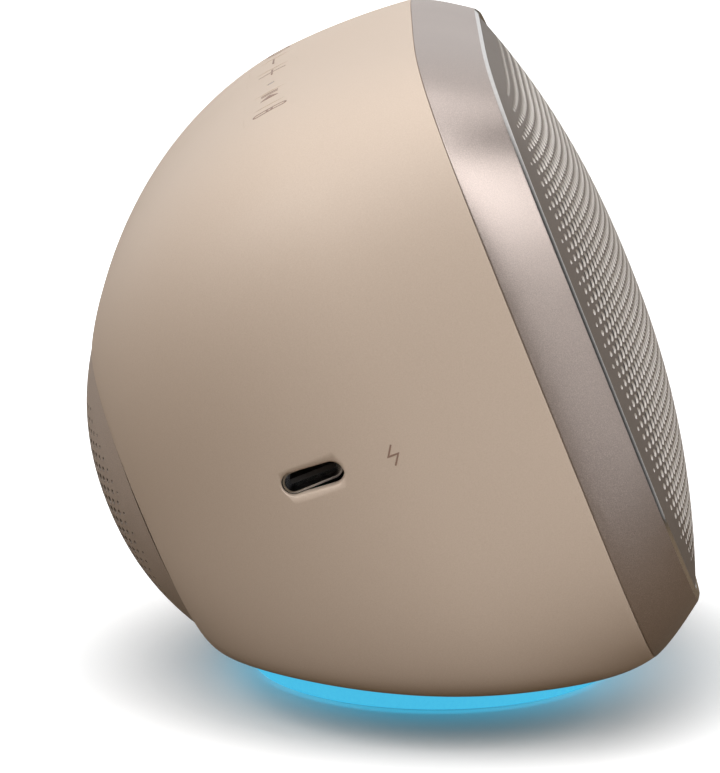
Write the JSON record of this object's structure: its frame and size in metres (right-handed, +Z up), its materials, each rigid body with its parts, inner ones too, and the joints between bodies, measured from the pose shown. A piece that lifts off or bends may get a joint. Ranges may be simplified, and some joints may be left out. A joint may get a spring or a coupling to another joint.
{
  "type": "smart speaker",
  "caption": "Tabletop smart speaker: tilted egg-shaped matte shell with a satin bezel, domed perforated grilles front and rear, flush top keys, side USB-C socket and a glowing round foot.",
  "frame": {"origin": "centre of the round foot, on the table", "axes": "+Z up, the front grille faces -Y and leans back, the USB-C socket is on the -X side"},
  "size_m": [0.1162, 0.0915, 0.099],
  "materials": {
    "shell": "matte soft-touch paint, very fine grain",
    "bezel": "satin anodised, fine metallic grain, polished front chamfer",
    "grille": "satin painted perforated steel",
    "cloth": "black acoustic cloth",
    "inner_plastic": "black moulded plastic",
    "seal": "black rubber and foam",
    "basket": "satin black",
    "steel": "zinc plated",
    "magnet": "sintered ferrite",
    "cone": "woven composite, satin",
    "spider": "impregnated cotton",
    "copper": "enamelled wire",
    "dome": "satin",
    "board": "green solder mask",
    "chips": "moulded packages",
    "lamp": "diode packages",
    "light_ring": "frosted light guide, lit pale blue",
    "status_lens": "smoked light pipe",
    "antenna": "flexible antenna foil",
    "socket": "plated socket shell",
    "cells": "blue shrink sleeve",
    "wires": "insulated wire"
  },
  "bodies": {
    "enclosure": {"body_shell": "shell", "front_bezel": "bezel", "front_grille": "grille", "grille_cloth": "cloth", "front_baffle": "inner_plastic", "baffle_gasket": "seal", "woofer_basket": "basket", "woofer_top_plate": "steel", "woofer_magnet": "magnet", "woofer_yoke": "steel", "tweeter_housing": "inner_plastic", "tweeter_magnet": "steel", "microphones": "chips", "rear_grille": "grille", "grille_retainer": "inner_plastic", "radiator_frame": "inner_plastic", "base_plate": "inner_plastic", "light_ring": "light_ring", "led_board": "board", "base_leds": "lamp", "foot_pad": "seal", "main_board": "board", "amp_shield": "steel", "board_chips": "chips", "antenna": "antenna", "usb_board": "board", "usb_receptacle": "socket", "usb_tongue": "chips", "port_gasket": "seal", "battery_cells": "cells", "battery_holder": "inner_plastic", "key_board": "board", "tact_switches": "steel", "status_led": "lamp", "status_lens": "status_lens", "speaker_wires": "wires", "baffle_screws": "steel", "board_screws": "steel", "radiator_screws": "steel", "base_screws": "steel"},
    "woofer_motion": {"woofer_cone": "cone", "dust_cap": "cone", "voice_coil": "copper", "woofer_surround": "seal", "woofer_spider": "spider"},
    "tweeter_motion": {"tweeter_dome": "dome", "tweeter_surround": "seal"},
    "radiator_motion": {"radiator_plate": "cone", "radiator_weight": "steel", "radiator_surround": "seal"},
    "pair_key": {"pair_key": "shell"},
    "play_key": {"play_key": "shell"},
    "volume_up_key": {"volume_up_key": "shell"},
    "volume_down_key": {"volume_down_key": "shell"},
    "power_key": {"power_key": "shell"}
  },
  "joints": [
    {"name": "woofer_slide", "type": "slide", "parent": "enclosure", "child": "woofer_motion", "axis": [0, -0.9272, 0.3746], "range_m": [-0.0025, 0.0025], "stiffness_N_per_m": 900, "deforming": ["woofer_surround", "woofer_spider"]},
    {"name": "tweeter_slide", "type": "slide", "parent": "enclosure", "child": "tweeter_motion", "axis": [0, -0.9272, 0.3746], "range_m": [-0.00015, 0.00015], "stiffness_N_per_m": 300, "deforming": ["tweeter_surround"]},
    {"name": "radiator_slide", "type": "slide", "parent": "enclosure", "child": "radiator_motion", "axis": [0, 0.9272, -0.3746], "range_m": [-0.003, 0.003], "stiffness_N_per_m": 700, "deforming": ["radiator_surround"]},
    {"name": "pair_press", "type": "slide", "parent": "enclosure", "child": "pair_key", "axis": [0, -0.5, -0.866], "range_m": [0, 0.0004], "stiffness_N_per_m": 600},
    {"name": "play_press", "type": "slide", "parent": "enclosure", "child": "play_key", "axis": [0, -0.5, -0.866], "range_m": [0, 0.0004], "stiffness_N_per_m": 600},
    {"name": "volume_up_press", "type": "slide", "parent": "enclosure", "child": "volume_up_key", "axis": [0, -0.5, -0.866], "range_m": [0, 0.0004], "stiffness_N_per_m": 600},
    {"name": "volume_down_press", "type": "slide", "parent": "enclosure", "child": "volume_down_key", "axis": [0, -0.5, -0.866], "range_m": [0, 0.0004], "stiffness_N_per_m": 600},
    {"name": "power_press", "type": "slide", "parent": "enclosure", "child": "power_key", "axis": [0, -0.5, -0.866], "range_m": [0, 0.0004], "stiffness_N_per_m": 600}
  ]
}
